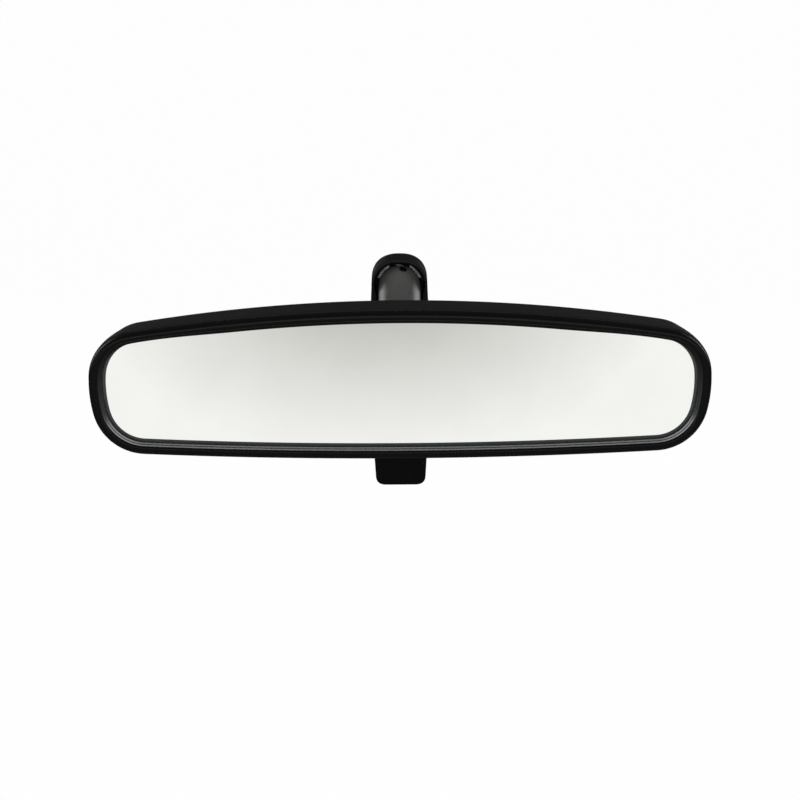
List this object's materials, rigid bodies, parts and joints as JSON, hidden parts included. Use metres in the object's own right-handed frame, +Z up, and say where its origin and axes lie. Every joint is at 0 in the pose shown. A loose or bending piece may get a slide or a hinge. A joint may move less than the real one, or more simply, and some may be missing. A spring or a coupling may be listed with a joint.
{
  "type": "interior rearview mirror",
  "caption": "Interior rearview mirror with a wide prismatic glass in a black case, a day and night lever, and a ball jointed arm on a windshield button foot.",
  "frame": {"origin": "centre of the bonding face of the windshield button", "axes": "+Y out of the bonding face towards the windshield, +X along the width of the mirror, +Z up; the glass looks along -Y"},
  "size_m": [0.255, 0.095, 0.0875],
  "materials": {
    "zinc": "grey zinc casting, slightly mottled",
    "cast_paint": "satin black paint on a casting",
    "nickel": "nickel plated",
    "steel": "bright steel",
    "nylon": "natural nylon",
    "gloss_paint": "gloss black paint",
    "bracket_plastic": "black moulding",
    "grained_plastic": "fine grained black moulding",
    "satin_plastic": "satin black moulding",
    "mirror_glass": "silvered wedge glass with a ground bevel",
    "foam": "black foam",
    "lever_plastic": "deep black moulding"
  },
  "bodies": {
    "foot": {"windshield_button": "zinc", "mount_foot": "cast_paint", "foot_clamp_screw": "nickel", "upper_ball_stud": "steel"},
    "upper_liner": {"upper_ball_liner": "nylon"},
    "arm": {"arm_tube": "gloss_paint", "upper_spring_seat": "nylon", "arm_spring": "steel", "lower_spring_seat": "nylon"},
    "lower_liner": {"lower_ball_liner": "nylon"},
    "bracket": {"lower_ball_stud": "steel", "stud_washer": "steel", "stud_lock_nut": "steel", "pivot_bracket": "bracket_plastic"},
    "head": {"rear_case": "grained_plastic", "front_bezel": "satin_plastic", "prism_glass": "mirror_glass", "glass_pad": "foam", "bracket_hinge_pin": "steel", "lever_pin": "steel", "detent_spring": "steel", "detent_screw": "steel"},
    "lever": {"day_night_lever": "lever_plastic"}
  },
  "joints": [
    {"name": "arm_pitch", "type": "hinge", "parent": "foot", "child": "upper_liner", "pos_m": [0, -0.0189, 0.0085], "axis": [1, 0, 0], "range_deg": [-15, 20]},
    {"name": "arm_swing", "type": "hinge", "parent": "upper_liner", "child": "arm", "pos_m": [0, -0.0189, 0.0085], "axis": [0, -0.5, 0.866], "range_deg": [-12, 12]},
    {"name": "head_yaw", "type": "hinge", "parent": "arm", "child": "lower_liner", "pos_m": [0, -0.05701, -0.0135], "axis": [0, 0, 1], "range_deg": [-20, 20]},
    {"name": "head_pitch", "type": "hinge", "parent": "lower_liner", "child": "bracket", "pos_m": [0, -0.05701, -0.0135], "axis": [1, 0, 0], "range_deg": [-15, 15]},
    {"name": "day_night_tilt", "type": "hinge", "parent": "bracket", "child": "head", "pos_m": [0, -0.07701, -0.001], "axis": [-1, 0, 0], "range_deg": [0, 4]},
    {"name": "lever_flip", "type": "hinge", "parent": "head", "child": "lever", "pos_m": [0, -0.07801, -0.0415], "axis": [-1, 0, 0], "range_deg": [0, 36]}
  ],
  "couplings": [
    {"joint": "lever_flip", "follows": "day_night_tilt", "ratio": 9}
  ]
}
